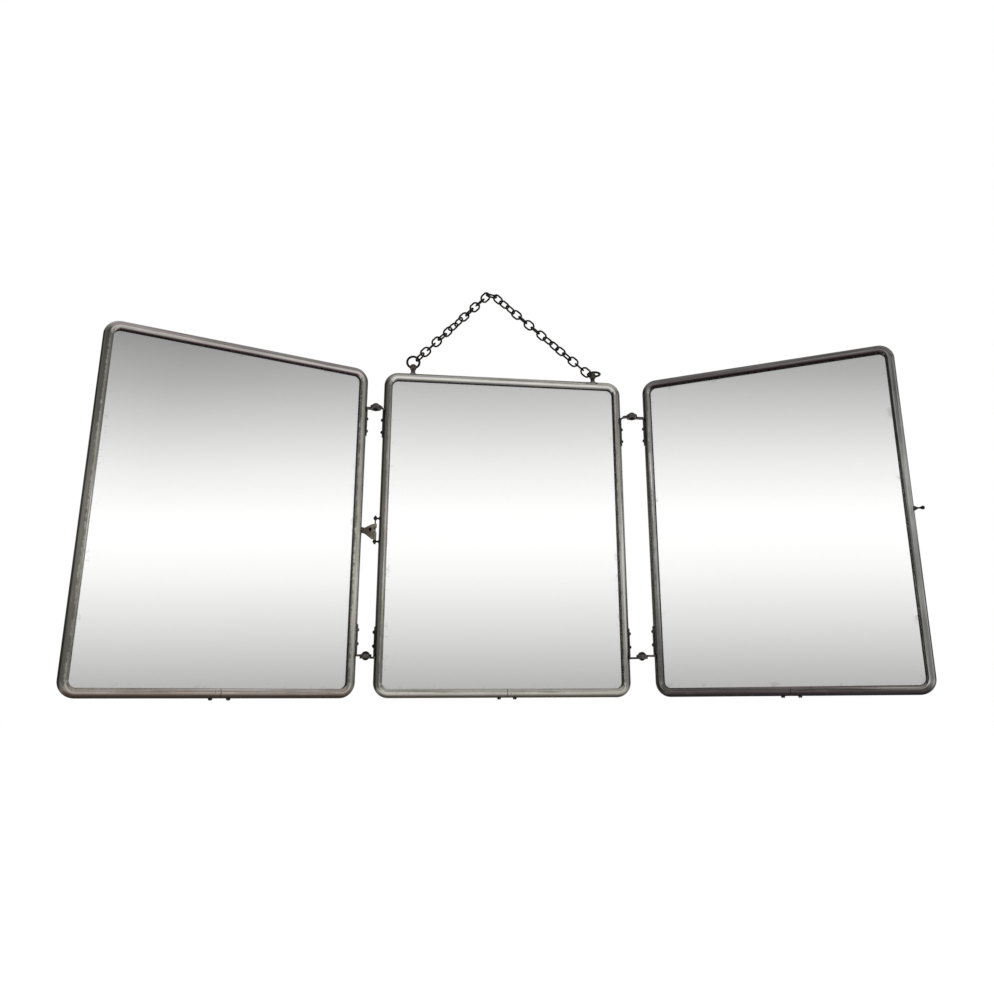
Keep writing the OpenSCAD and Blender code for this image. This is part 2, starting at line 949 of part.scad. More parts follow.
centre_frame();
centre_place() glass();  // centre_glass
centre_place() card();  // centre_card
centre_place() tin_back();  // centre_back
centre_place() splice();  // centre_splice
centre_place() seam_screws();  // centre_seam_screws
left_frame();
left_place() glass();  // left_glass
left_place() card();  // left_card
left_place() tin_back();  // left_back
left_place() splice();  // left_splice
left_place() seam_screws();  // left_seam_screws
right_frame();
right_place() glass();  // right_glass
right_place() card();  // right_card
right_place() tin_back();  // right_back
right_place() splice();  // right_splice
right_place() seam_screws();  // right_seam_screws
centre_top_arm(-1, left_reach, left_off);  // left_top_centre_arm
left_place() wing_top_arm(1, left_reach, left_off);  // left_top_wing_arm
pivot_rivet(-1, left_reach, left_off, high_hinge_z);  // left_top_pivot
centre_low_arm(-1, left_reach, left_off);  // left_low_centre_arm
left_place() wing_low_arm(1, left_reach, left_off);  // left_low_wing_arm
pivot_rivet(-1, left_reach, left_off, low_hinge_z);  // left_low_pivot
centre_top_arm(1, right_reach, right_off);  // right_top_centre_arm
right_place() wing_top_arm(-1, right_reach, right_off);  // right_top_wing_arm
pivot_rivet(1, right_reach, right_off, high_hinge_z);  // right_top_pivot
centre_low_arm(1, right_reach, right_off);  // right_low_centre_arm
right_place() wing_low_arm(-1, right_reach, right_off);  // right_low_wing_arm
pivot_rivet(1, right_reach, right_off, low_hinge_z);  // right_low_pivot
centre_place() for (side = [-1, 1]) arm_rivets(side, centre_rivets);  // centre_arm_rivets
left_place() arm_rivets(1, wing_rivets);  // left_arm_rivets
right_place() arm_rivets(-1, wing_rivets);  // right_arm_rivets
hasp_studs();
hasp_pin();
hasp_plate();
catch_stud();
chain_stud(-1);  // left_chain_stud
chain_stud(1);  // right_chain_stud
left_ring();
right_ring();
chain_side(left_start, left_end, left_links, 1);  // chain_left_links
chain_side(left_end, right_end, 1, left_links + 1);  // chain_nail_link
chain_side(right_end, right_start, right_links, left_links + 2);  // chain_right_links
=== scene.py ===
"""Looks of the trifold vanity mirror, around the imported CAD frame."""
import math
from typing import NamedTuple

import bmesh
import bpy
from mathutils import Matrix, Vector


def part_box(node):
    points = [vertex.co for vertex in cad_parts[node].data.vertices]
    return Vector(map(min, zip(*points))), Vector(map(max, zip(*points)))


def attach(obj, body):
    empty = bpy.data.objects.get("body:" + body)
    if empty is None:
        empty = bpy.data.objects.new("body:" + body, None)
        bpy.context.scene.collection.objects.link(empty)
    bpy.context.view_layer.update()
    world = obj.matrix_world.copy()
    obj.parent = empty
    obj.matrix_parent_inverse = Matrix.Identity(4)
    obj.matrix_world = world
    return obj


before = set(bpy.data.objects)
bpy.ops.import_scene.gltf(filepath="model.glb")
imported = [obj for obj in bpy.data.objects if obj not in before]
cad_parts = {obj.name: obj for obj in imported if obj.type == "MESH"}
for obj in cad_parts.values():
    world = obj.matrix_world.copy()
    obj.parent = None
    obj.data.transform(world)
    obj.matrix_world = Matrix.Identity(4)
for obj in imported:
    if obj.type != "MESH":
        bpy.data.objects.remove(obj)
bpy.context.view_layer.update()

scene = bpy.context.scene
scene.view_settings.view_transform = "Standard"
scene.view_settings.look = "None"

# ---- The leaves' own frames -------------------------------------------------

SIDES = ("left", "centre", "right")
BODY_OF = {"left": "left_wing", "centre": "centre", "right": "right_wing"}
LEAF_H_MM = 300.0

low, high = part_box("centre_frame")
LEAF_H = high.z - low.z
LEAF_W = high.x - low.x
TUBE_R = (high.y - low.y) / 2
FOOT = Vector(((low.x + high.x) / 2, (low.y + high.y) / 2, low.z))
MM = LEAF_H / LEAF_H_MM
CORNER_R = 9.0 * MM  # of the tube's middle line


def front_face(node):
    """The largest face of a CAD node that looks towards the viewer."""
    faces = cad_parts[node].data.polygons
    return max((face for face in faces if face.normal.y < 0), key=lambda face: face.area)


def leaf_frame(side):
    """Middle of a leaf at rest, and the angle that its face is turned by about Z."""
    first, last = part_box(f"{side}_frame")
    normal = front_face(f"{side}_glass").normal
    return (first + last) / 2, math.atan2(normal.x, -normal.y)


LEAVES = {side: leaf_frame(side) for side in SIDES}

# ---- Camera: the photograph's viewpoint, from a fit of the leaves' edges -----

IMAGE_W, IMAGE_H = 994, 995
FOCAL_PX = 882.66
CENTRE_PX = (517.10, 451.28)  # the point that the lens looks at squarely
YAW, PITCH, ROLL = (math.radians(angle) for angle in (8.515, 15.98, 0.289))
EYE = Vector((-0.3581, -2.6677, -0.0177))  # from the middle leaf's foot, in leaf heights
SENSOR_MM = 36.0
CLIP_START, CLIP_END = 0.01, 60


def make_camera():
    forward = Vector(
        (math.sin(YAW) * math.cos(PITCH), math.cos(YAW) * math.cos(PITCH), math.sin(PITCH))
    )
    level = forward.cross(Vector((0, 0, 1))).normalized()
    roll = Matrix.Rotation(ROLL, 3, forward)
    right, up = roll @ level, roll @ level.cross(forward)
    aim = Matrix((right, up, -forward)).transposed().to_4x4()
    data = bpy.data.cameras.new("camera")
    data.sensor_fit = "AUTO"
    data.sensor_width = SENSOR_MM
    data.lens = FOCAL_PX / IMAGE_H * SENSOR_MM
    data.shift_x = (IMAGE_W / 2 - CENTRE_PX[0]) / IMAGE_H
    data.shift_y = (CENTRE_PX[1] - IMAGE_H / 2) / IMAGE_H
    data.clip_start = CLIP_START
    data.clip_end = CLIP_END
    camera = bpy.data.objects.new("camera", data)
    scene.collection.objects.link(camera)
    camera.matrix_world = Matrix.Translation(FOOT + LEAF_H * EYE) @ aim
    scene.camera = camera


make_camera()

# ---- Node helpers -----------------------------------------------------------

# A Mix node's sockets: its share, what it mixes, and its result.
MIX_SOCKETS = {"FLOAT": (0, 2, 3, 0), "RGBA": (0, 6, 7, 2)}


def srgb(*levels):
    """Linear colour of an sRGB one, whose levels are 0 to 255."""
    shares = [level / 255.0 for level in levels]
    return tuple(c / 12.92 if c <= 0.04045 else ((c + 0.055) / 1.055) ** 2.4 for c in shares)


class Tree:
    """Short forms for building a node tree."""

    def __init__(self, tree):
        self.tree = tree
        self.tree.nodes.clear()

    def add(self, kind, **settings):
        node = self.tree.nodes.new(kind)
        for name, setting in settings.items():
            setattr(node, name, setting)
        return node

    def put(self, socket, value):
        """Links a socket to another one, or sets it to a number, vector or colour."""
        if isinstance(value, bpy.types.NodeSocket):
            self.tree.links.new(value, socket)
        elif socket.type == "RGBA":
            socket.default_value = (*value, 1.0)
        else:
            socket.default_value = value

    def split(self, vector):
        node = self.add("ShaderNodeSeparateXYZ")
        self.put(node.inputs[0], vector)
        return tuple(node.outputs)

    def join(self, *axes):
        node = self.add("ShaderNodeCombineXYZ")
        for socket, axis in zip(node.inputs, axes):
            self.put(socket, axis)
        return node.outputs[0]

    def math(self, operation, *values):
        node = self.add("ShaderNodeMath", operation=operation)
        for socket, value in zip(node.inputs, values):
            self.put(socket, value)
        return node.outputs[0]

    def plus(self, first, second):
        return self.math("ADD", first, second)

    def minus(self, first, second):
        return self.math("SUBTRACT", first, second)

    def times(self, first, second):
        return self.math("MULTIPLY", first, second)

    def times_plus(self, first, second, added):
        return self.math("MULTIPLY_ADD", first, second, added)

    def larger(self, first, second):
        return self.math("MAXIMUM", first, second)

    def length(self, first, second):
        """Length of a line with these two legs."""
        squares = [self.math("POWER", leg, 2.0) for leg in (first, second)]
        return self.math("SQRT", self.plus(*squares))

    def fade(self, value, ends):
        """0 at the first end and 1 at the last, whichever is larger, smooth between."""
        off, on = ends
        node = self.add("ShaderNodeMapRange", interpolation_type="SMOOTHSTEP")
        rising = on > off
        settings = (off, on, 0.0, 1.0) if rising else (on, off, 1.0, 0.0)
        for socket, setting in zip(node.inputs, (value, *settings)):
            self.put(socket, setting)
        return node.outputs[0]

    def mix(self, share, first, last, kind="RGBA"):
        """Colour from the first, where the share is 0, to the last, where it is 1."""
        node = self.add("ShaderNodeMix", data_type=kind)
        *sockets, result = MIX_SOCKETS[kind]
        for index, value in zip(sockets, (share, first, last)):
            self.put(node.inputs[index], value)
        return node.outputs[result]

    def mix_numbers(self, share, first, last):
        return self.mix(share, first, last, "FLOAT")

    def ramp(self, value, stops):
        node = self.add("ShaderNodeValToRGB")
        self.put(node.inputs[0], value)
        items = node.color_ramp.elements
        items.remove(items[1])
        for k, (at, colour) in enumerate(stops):
            item = items[0] if k == 0 else items.new(at)
            item.position = at
            item.color = (*colour, 1.0)
        return node.outputs[0]


class Finish(Tree):
    """A material of one shader, which varies with the place on the object at rest."""

    def __init__(self, name):
        self.material = bpy.data.materials.new(name)
        self.material.use_nodes = True
        super().__init__(self.material.node_tree)
        self.shader = self.add("ShaderNodeBsdfPrincipled")
        self.put(self.add("ShaderNodeOutputMaterial").inputs[0], self.shader.outputs[0])
        self.place = self.add("ShaderNodeTexCoord").outputs["Object"]

    def set(self, name, value):
        self.put(self.shader.inputs[name], value)

    def noise(self, scale, detail, rough, distortion=0.0, seed=None, at=None):
        node = self.add("ShaderNodeTexNoise")
        if seed is not None:
            node.noise_dimensions = "4D"
            self.put(node.inputs["W"], seed)
        self.put(node.inputs["Vector"], at or self.place)
        self.put(node.inputs["Scale"], scale)
        self.put(node.inputs["Detail"], detail)
        self.put(node.inputs["Roughness"], rough)
        self.put(node.inputs["Distortion"], distortion)
        return node.outputs["Fac"]

    def specks(self, scale, size):
        """Round specks, and how far from their middles they end and are whole."""
        node = self.add("ShaderNodeTexVoronoi")
        self.put(node.inputs["Vector"], self.place)
        self.put(node.inputs["Scale"], scale)
        return self.fade(node.outputs["Distance"], size)

    def stain(self, base, shown, colour, strength=None):
        """The base, gone over to an sRGB colour where shown is 1."""
        share = shown if strength is None else self.times(shown, strength)
        return self.mix(share, base, srgb(*colour))

    def bump(self, height, strength, distance):
        node = self.add("ShaderNodeBump")
        self.put(node.inputs["Strength"], strength)
        self.put(node.inputs["Distance"], distance)
        self.put(node.inputs["Height"], height)
        self.set("Normal", node.outputs[0])


# ---- World: white to the eye, a studio with dark flags to the metal ----------

# Grey of the studio by the height of a reflected ray, in degrees: a pale floor, a
# dark skirting at the horizon, a bright window band, a dark pelmet and a ceiling.
GRADIENT = (
    (-90, 128), (-48, 186), (-13, 240), (-5, 214), (-1, 180), (1, 181), (5, 223),
    (8, 246), (10, 255), (12, 255), (15, 237), (18, 210), (21, 178), (24, 149),
    (26, 138), (34, 186), (50, 196), (90, 188),
)
MIRROR_LOSS = 1.045  # light that silver and glass take, given back to the studio
# How far the studio's bands sag, as a share of their height, by how far to the
# side they lie (0 straight ahead, 1 straight to the left or right).
SAG = ((0.25, 0.0), (0.4, 0.1), (0.51, 0.1), (0.6, 0.05), (0.7, 0.012), (0.8, 0.0))
# The dark flags: a ray's X where each starts and is whole, and the light it takes.
FLAGS = (((-0.77, -0.90), 0.80), ((0.74, 0.95), 0.40))
# The wall's side is dimmer: its share of light low down and high up, and a ray's Z
# for these two. WALL_EDGE is a ray's Y where that side starts and is whole.
WALL_LIGHT, WALL_RISE = (0.50, 0.85), (-0.1, 0.9)
WALL_EDGE = (-0.05, 0.35)
SEEN = (1.0, 1.0, 1.0)  # what the camera sees
SOFT = (1.12, 1.12, 1.12)  # what lights dull surfaces


def ramp_place(sine):
    """Place on a ramp, which runs from 0 to 1, of a ray's Z, which runs from -1 to 1."""
    return sine * 0.5 + 0.5


def studio_light(tree):
    """What a reflected ray meets."""
    x, y, z = tree.split(tree.add("ShaderNodeTexCoord").outputs["Generated"])
    sag = tree.ramp(tree.math("ABSOLUTE", x), [(at, (s, s, s)) for at, s in SAG])
    height = tree.times(z, tree.plus(sag, 1.0))
    bands = tree.ramp(
        tree.times_plus(height, 0.5, 0.5),
        [(ramp_place(math.sin(math.radians(d))), srgb(g, g, g)) for d, g in GRADIENT],
    )
    gain = MIRROR_LOSS
    for edge, taken in FLAGS:
        gain = tree.times(gain, tree.minus(1.0, tree.times(tree.fade(x, edge), taken)))
    wall = tree.mix_numbers(tree.fade(z, WALL_RISE), *WALL_LIGHT)
    gain = tree.times(gain, tree.mix_numbers(tree.fade(y, WALL_EDGE), 1.0, wall))
    light = tree.add("ShaderNodeVectorMath", operation="SCALE")
    tree.put(light.inputs[0], bands)
    tree.put(light.inputs["Scale"], gain)
    return light.outputs[0]


def background(tree, colour):
    node = tree.add("ShaderNodeBackground")
    tree.put(node.inputs[0], colour)
    return node.outputs[0]


def make_world():
    world = bpy.data.worlds.new("studio")
    scene.world = world
    world.use_nodes = True
    tree = Tree(world.node_tree)
    rays = tree.add("ShaderNodeLightPath").outputs
    mirrored = tree.larger(rays["Is Glossy Ray"], rays["Is Transmission Ray"])
    shown = background(tree, SOFT)
    for ray, colour in ((mirrored, studio_light(tree)), (rays["Is Camera Ray"], SEEN)):
        node = tree.add("ShaderNodeMixShader")
        for socket, value in zip(node.inputs, (ray, shown, background(tree, colour))):
            tree.put(socket, value)
        shown = node.outputs[0]
    tree.put(tree.add("ShaderNodeOutputWorld").inputs[0], shown)


make_world()

# ---- Floor and lights -------------------------------------------------------

FLOOR_DROP = 0.9 * LEAF_H
FLOOR_HALF = 14.0
FLOOR_COLOUR = (0.93, 0.93, 0.925, 1.0)
FLOOR_ROUGH, FLOOR_SPECULAR = 0.9, 0.1
# Place from the middle leaf's middle, size and power of each soft light.
LIGHTS = {
    "key": ((-0.9, -1.6, 1.5), 1.2, 26),
    "fill": ((1.6, -1.2, 0.6), 1.2, 12),
    "back": ((0.3, 1.8, 1.1), 1.4, 22),
}


def make_floor():
    half, z = FLOOR_HALF, FOOT.z - FLOOR_DROP
    mesh = bpy.data.meshes.new("floor")
    corners = [(-half, -half, z), (half, -half, z), (half, half, z), (-half, half, z)]
    mesh.from_pydata(corners, [], [(0, 1, 2, 3)])
    floor = bpy.data.objects.new("floor", mesh)
    scene.collection.objects.link(floor)
    material = bpy.data.materials.new("floor")
    material.use_nodes = True
    shader = material.node_tree.nodes["Principled BSDF"]
    shader.inputs["Base Color"].default_value = FLOOR_COLOUR
    shader.inputs["Roughness"].default_value = FLOOR_ROUGH
    shader.inputs["Specular IOR Level"].default_value = FLOOR_SPECULAR
    mesh.materials.append(material)
    floor.visible_glossy = False
    floor.visible_transmission = False


def make_light(name, offset, size, power):
    data = bpy.data.lights.new(name, "AREA")
    data.shape = "SQUARE"
    data.size = size
    data.energy = power
    light = bpy.data.objects.new(name, data)
    scene.collection.objects.link(light)
    middle = FOOT + Vector((0, 0, LEAF_H / 2))
    light.location = middle + Vector(offset)
    light.rotation_euler = (middle - light.location).to_track_quat("-Z", "Y").to_euler()
    light.visible_camera = False
    light.visible_glossy = False
    light.visible_transmission = False


make_floor()
for name, (offset, size, power) in LIGHTS.items():
    make_light(name, offset, size, power)

# ---- Places on a leaf -------------------------------------------------------


def leaf_place(finish, side):
    """A leaf's own coordinates, from its middle: across, depth and height."""
    middle, angle = LEAVES[side]
    shift = finish.add("ShaderNodeVectorMath", operation="SUBTRACT")
    finish.put(shift.inputs[0], finish.place)
    finish.put(shift.inputs[1], middle)
    turn = finish.add("ShaderNodeVectorRotate", rotation_type="Z_AXIS")
    finish.put(turn.inputs["Vector"], shift.outputs[0])
    finish.put(turn.inputs["Angle"], -angle)
    return finish.split(turn.outputs[0])


def corner_place(finish, across, height):
    """How far a point lies past the corners' centres: across, upright and in all."""
    past = []
    for value, half in ((across, LEAF_W / 2), (height, LEAF_H / 2)):
        beyond = finish.minus(finish.math("ABSOLUTE", value), half - TUBE_R - CORNER_R)
        past.append(finish.larger(beyond, 0.0))
    return *past, finish.length(*past)


class Rail(NamedTuple):
    """Sockets that tell where a point lies on a leaf's tube."""

    off: object  # distance outward from the tube's middle line, in the leaf's plane
    depth: object  # distance behind that line
    along: object  # distance that grows along every rail
    core: object  # distance from the middle line
    way_x: object  # outward direction
    normal_x: object  # direction that the surface faces
    normal_z: object
    top: object  # 1 on the top rail
    foot: object  # 1 on the bottom rail
    upright: object  # 1 on the side rails


TOP_ENDS, FOOT_ENDS = (0.3, 0.9), (-0.3, -0.9)  # height of the outward direction


def rail_place(finish, side):
    across, depth, height = leaf_place(finish, side)
    past_x, past_z, reach = corner_place(finish, across, height)
    off = finish.minus(reach, CORNER_R)
    safe_reach = finish.larger(reach, MM)
    way_x = finish.times(finish.math("SIGN", across), finish.math("DIVIDE", past_x, safe_reach))
    way_z = finish.times(finish.math("SIGN", height), finish.math("DIVIDE", past_z, safe_reach))
    outward = finish.math("DIVIDE", off, TUBE_R)
    top, foot = finish.fade(way_z, TOP_ENDS), finish.fade(way_z, FOOT_ENDS)
    return Rail(
        off=off,
        depth=depth,
        along=finish.plus(across, height),
        core=finish.length(off, depth),
        way_x=way_x,
        normal_x=finish.times(way_x, outward),
        normal_z=finish.times(way_z, outward),
        top=top,
        foot=foot,
        upright=finish.minus(1.0, finish.larger(top, foot)),
    )


# ---- The nickelled tube -----------------------------------------------------


class Streak(NamedTuple):
    """Noise that is drawn out along the tube."""

    around: float  # scale round the tube, per metre
    length: float  # scale along it, per metre
    detail: float
    seed: float  # on top of the leaf's own
    shows: tuple  # level of the noise where it starts to show, and shows whole


BROAD = Streak(around=260, length=7, detail=3, seed=0, shows=(0.36, 0.64))
THIN = Streak(around=1100, length=26, detail=3, seed=3, shows=(0.50, 0.66))
# Painted shade and painted highlights: dark and bright lines drawn along the tube.
SHADE_STREAK = Streak(around=430, length=5, detail=2, seed=6, shows=(0.54, 0.64))
HIGHLIGHT_STREAK = Streak(around=520, length=6, detail=2, seed=7, shows=(0.57, 0.66))
SCRATCH = Streak(around=3600, length=30, detail=1, seed=8, shows=(0.66, 0.72))


class WearAndPaintedLight(NamedTuple):
    """How one leaf's nickel has aged, with the painted shade and highlights it carries. Greys
    come in pairs, lighter and duller, and differ from rail to rail partly as painted light.
    """

    seed: float
    top: tuple  # greys of the top rail
    side: tuple  # greys of the upright rails
    foot: tuple  # greys of the bottom rail
    shade_streaks: float  # strength of the painted shade lines
    # strength of the painted highlight lines
    highlight_streaks: float
    painted_highlight: float  # how strong the painted highlight is on the level rails, beneath their middle
    left_shade_edge: float  # how far round from the left the painted shade reaches
    ragged: float  # how unevenly the painted shade ends
    under_shade_ends: tuple  # height of the normal where the painted shade on the top rail's underside starts, and is whole
    under_shade_colour: tuple  # reddish colour of that painted shade
    low_shade_ends: tuple  # the same for the painted shade on the bottom rail's low side, in radii down
    low_shade_colour: tuple  # colour of that painted shade


WEAR_AND_PAINTED_LIGHT = {
    "left": WearAndPaintedLight(
        seed=1.0,
        top=((206, 197, 195), (170, 160, 158)),
        side=((192, 190, 180), (152, 150, 139)),
        foot=((216, 206, 200), (172, 160, 150)),
        shade_streaks=0.40,
        highlight_streaks=0.60,
        painted_highlight=0.30,
        left_shade_edge=-0.05,
        ragged=1.7,
        under_shade_ends=(-0.50, -0.85),
        under_shade_colour=(92, 56, 62),
        low_shade_ends=(-0.25, 0.45),
        low_shade_colour=(100, 80, 68),
    ),
    "centre": WearAndPaintedLight(
        seed=4.0,
        top=((216, 213, 205), (172, 167, 158)),
        side=((170, 168, 160), (135, 132, 124)),
        foot=((212, 209, 200), (172, 165, 153)),
        shade_streaks=0.40,
        highlight_streaks=0.55,
        painted_highlight=0.95,
        left_shade_edge=0.0,
        ragged=0.9,
        under_shade_ends=(-0.88, -1.05),
        under_shade_colour=(110, 100, 92),
        low_shade_ends=(0.0, 0.8),
        low_shade_colour=(134, 126, 114),
    ),
    "right": WearAndPaintedLight(
        seed=8.0,
        top=((146, 142, 142), (114, 109, 110)),
        side=((168, 168, 165), (122, 122, 119)),
        foot=((152, 145, 143), (110, 102, 100)),
        shade_streaks=0.75,
        highlight_streaks=0.90,
        painted_highlight=0.0,
        left_shade_edge=0.14,
        ragged=1.0,
        under_shade_ends=(0.05, -0.65),
        under_shade_colour=(66, 50, 52),
        low_shade_ends=(-0.80, 0.10),
        low_shade_colour=(72, 64, 64),
    ),
}

# A pair named SHOWS holds the levels of a noise where it starts to show, and shows
# whole. Marks have an sRGB colour and a strength, 1 where none is given.
BROAD_SHARE, CLOUD_SHARE = 0.6, 0.4  # in how dull the plating is
CLOUD_SHOWS = (0.38, 0.66)
THIN_COLOUR, THIN_STRENGTH = (104, 98, 86), 0.28
# Colours of the painted shade lines and of the painted highlight lines.
SHADE_STREAK_COLOUR = (84, 82, 80)
HIGHLIGHT_STREAK_COLOUR = (232, 230, 224)
SCRATCH_COLOUR, SCRATCH_STRENGTH = (214, 209, 196), 0.55
SCRATCH_SHOWS = (0.50, 0.62)

# Painted shade on the sides of the upright rails that face left.
LEFT_SHADE_COLOUR, LEFT_SHADE_STRENGTH = (82, 79, 73), 0.78
LEFT_SHADE_FADE = 0.35  # width of its edge
LEFT_SHADE_LEAN = 0.36  # how much further it reaches on left rails than on right ones

# Height of the normal where the painted highlight band starts, and where it stops.
HIGHLIGHT_BAND_STARTS, HIGHLIGHT_BAND_STOPS = (0.02, -0.22), (-0.66, -0.46)
HIGHLIGHT_BAND_COLOUR = (240, 238, 232)
HIGHLIGHT_BAND_FOOT = 0.35  # the bottom rails' share of the painted highlight
# Strength of the painted shade on the bottom rail's low side.
LOW_SHADE_STRENGTH = 0.85

PIT_COLOUR = (44, 34, 27)
PIT_SCALE, PIT_SIZE = 520, (0.26, 0.10)
PIT_SHOWS = (0.60, 0.66)
PIT_FOOT = 0.07  # how much likelier pits are on the bottom rails
PIT_INNER = 0.04  # and on the left leaf's inner side, which lies between these
INNER_ENDS = (0.1 * TUBE_R, -0.7 * TUBE_R)

BORE_COLOUR = (66, 44, 40)
BORE_ENDS = (TUBE_R - 0.25 * MM, TUBE_R - 0.4 * MM)  # distance from the middle line
GLOSS = (0.09, 0.21)  # roughness of fresh and of dull plating
BARE_ROUGH = 0.65
BARE_METAL = -0.85  # what a pit and the bore take from the metal
THIN_RELIEF, FINE_RELIEF, CLOUD_RELIEF = 0.5, 0.25, 1.6
NOISE_MIDDLE = 0.5


def streaks(finish, rail, streak, seed):
    seed += streak.seed
    at = finish.join(
        finish.times(rail.off, streak.around),
        finish.times(rail.depth, streak.around),
        finish.times_plus(rail.along, streak.length, seed),
    )
    drawn = finish.noise(scale=1.0, detail=streak.detail, rough=0.5, seed=seed, at=at)
    return finish.fade(drawn, streak.shows)


def plating(finish, rail, wear_and_painted_light, dull):
    """The plain plating: from its lighter grey to its duller one, by rail; the rails' greys are
    partly painted light, set to how bright each rail looks.
    """
    pair = []
    for side, top, foot in zip(wear_and_painted_light.side, wear_and_painted_light.top, wear_and_painted_light.foot):
        grey = finish.mix(rail.top, srgb(*side), srgb(*top))
        pair.append(finish.mix(rail.foot, grey, srgb(*foot)))
    return finish.mix(dull, *pair)


def with_painted_left_shade(finish, rail, wear_and_painted_light, base):
    """Painted shade: the upright rails darkened on the sides that face left, with a ragged
    edge.
    """
    ragged = finish.noise(scale=130, detail=5, rough=0.7, seed=wear_and_painted_light.seed + 13)
    ragged = finish.minus(ragged, NOISE_MIDDLE)
    ragged = finish.times(ragged, wear_and_painted_light.ragged)
    facing = finish.times_plus(rail.way_x, LEFT_SHADE_LEAN, finish.plus(rail.normal_x, ragged))
    ends = (wear_and_painted_light.left_shade_edge, wear_and_painted_light.left_shade_edge - LEFT_SHADE_FADE)
    leftward = finish.times(finish.fade(facing, ends), rail.upright)
    return finish.stain(base, leftward, LEFT_SHADE_COLOUR, LEFT_SHADE_STRENGTH)


def with_level_bands(finish, rail, wear_and_painted_light, base):
    """Painted bands of the level rails: shade on the top rail's underside, a highlight beneath
    the middle and shade on the bottom rail's low side.
    """
    # Painted shade on the top rail's underside.
    beneath = finish.times(finish.fade(rail.normal_z, wear_and_painted_light.under_shade_ends), rail.top)
    base = finish.stain(base, beneath, wear_and_painted_light.under_shade_colour)
    # Painted highlight: a bright band beneath the middle of the level rails.
    highlight_band = finish.times(
        finish.fade(rail.normal_z, HIGHLIGHT_BAND_STARTS), finish.fade(rail.normal_z, HIGHLIGHT_BAND_STOPS)
    )
    level = finish.times_plus(rail.foot, HIGHLIGHT_BAND_FOOT, rail.top)
    highlight_band = finish.times(highlight_band, finish.times(level, wear_and_painted_light.painted_highlight))
    base = finish.stain(base, highlight_band, HIGHLIGHT_BAND_COLOUR)
    # Painted shade on the bottom rail's low side.
    ends = [radii * TUBE_R for radii in wear_and_painted_light.low_shade_ends]
    low_side = finish.times(finish.fade(rail.off, ends), rail.foot)
    return finish.stain(base, low_side, wear_and_painted_light.low_shade_colour, LOW_SHADE_STRENGTH)


def with_scratches(finish, rail, wear_and_painted_light, base):
    patches = finish.noise(scale=52, detail=2, rough=0.5, seed=wear_and_painted_light.seed + 9)
    scratch = streaks(finish, rail, SCRATCH, wear_and_painted_light.seed)
    scratch = finish.times(scratch, finish.fade(patches, SCRATCH_SHOWS))
    return finish.stain(base, scratch, SCRATCH_COLOUR, SCRATCH_STRENGTH)


def pits(finish, rail, wear_and_painted_light, side):
    """Rusty pits, in patches."""
    rot = finish.noise(scale=46, detail=4, rough=0.7, seed=wear_and_painted_light.seed + 11)
    rot = finish.times_plus(rail.foot, PIT_FOOT, rot)
    if side == "left":
        rot = finish.times_plus(finish.fade(rail.off, INNER_ENDS), PIT_INNER, rot)
    return finish.times(finish.specks(PIT_SCALE, PIT_SIZE), finish.fade(rot, PIT_SHOWS))


def nickel(side):
    """Old nickel plating on tube: drawn streaks, pits and scratches, with painted shade and
    painted highlights along its rails.
    """
    wear_and_painted_light = WEAR_AND_PAINTED_LIGHT[side]
    finish = Finish(f"nickel_{side}")
    rail = rail_place(finish, side)
    clouds = finish.noise(scale=34, detail=4, rough=0.6, distortion=0.4, seed=wear_and_painted_light.seed + 5)
    broad = finish.times(streaks(finish, rail, BROAD, wear_and_painted_light.seed), BROAD_SHARE)
    dull = finish.plus(broad, finish.times(finish.fade(clouds, CLOUD_SHOWS), CLOUD_SHARE))
    thin = streaks(finish, rail, THIN, wear_and_painted_light.seed)
    dark = streaks(finish, rail, SHADE_STREAK, wear_and_painted_light.seed)
    bright = streaks(finish, rail, HIGHLIGHT_STREAK, wear_and_painted_light.seed)
    base = plating(finish, rail, wear_and_painted_light, dull)
    base = finish.stain(base, thin, THIN_COLOUR, THIN_STRENGTH)
    base = finish.stain(base, dark, SHADE_STREAK_COLOUR, wear_and_painted_light.shade_streaks)
    base = finish.stain(base, bright, HIGHLIGHT_STREAK_COLOUR, wear_and_painted_light.highlight_streaks)
    base = with_painted_left_shade(finish, rail, wear_and_painted_light, base)
    base = with_level_bands(finish, rail, wear_and_painted_light, base)
    base = with_scratches(finish, rail, wear_and_painted_light, base)
    pit = pits(finish, rail, wear_and_painted_light, side)
    inside = finish.fade(rail.core, BORE_ENDS)
    base = finish.stain(base, pit, PIT_COLOUR)
    finish.set("Base Color", finish.stain(base, inside, BORE_COLOUR))
    bare = finish.larger(pit, inside)
    finish.set("Metallic", finish.times_plus(bare, BARE_METAL, 1.0))
    gloss = finish.mix_numbers(dull, *GLOSS)
    finish.set("Roughness", finish.mix_numbers(bare, gloss, BARE_ROUGH))
    fine = finish.noise(scale=620, detail=3, rough=0.55, seed=wear_and_painted_light.seed + 2)
    relief = finish.times_plus(thin, THIN_RELIEF, finish.times(fine, FINE_RELIEF))
    relief = finish.times_plus(clouds, CLOUD_RELIEF, relief)
    finish.bump(finish.minus(relief, pit), strength=0.30, distance=0.00012)
    return finish.material


# ---- Glass, silver, card and tin --------------------------------------------

GLASS_TINT = (0.99, 0.991, 0.987)
GLASS_IOR = 1.5
WIPE_SHOWS, WIPE_ROUGH = (0.62, 0.78), 0.012

SILVER, LOST_SILVER = (0.975, 0.973, 0.971), (112, 104, 92)
LOST_ROUGH = 0.35
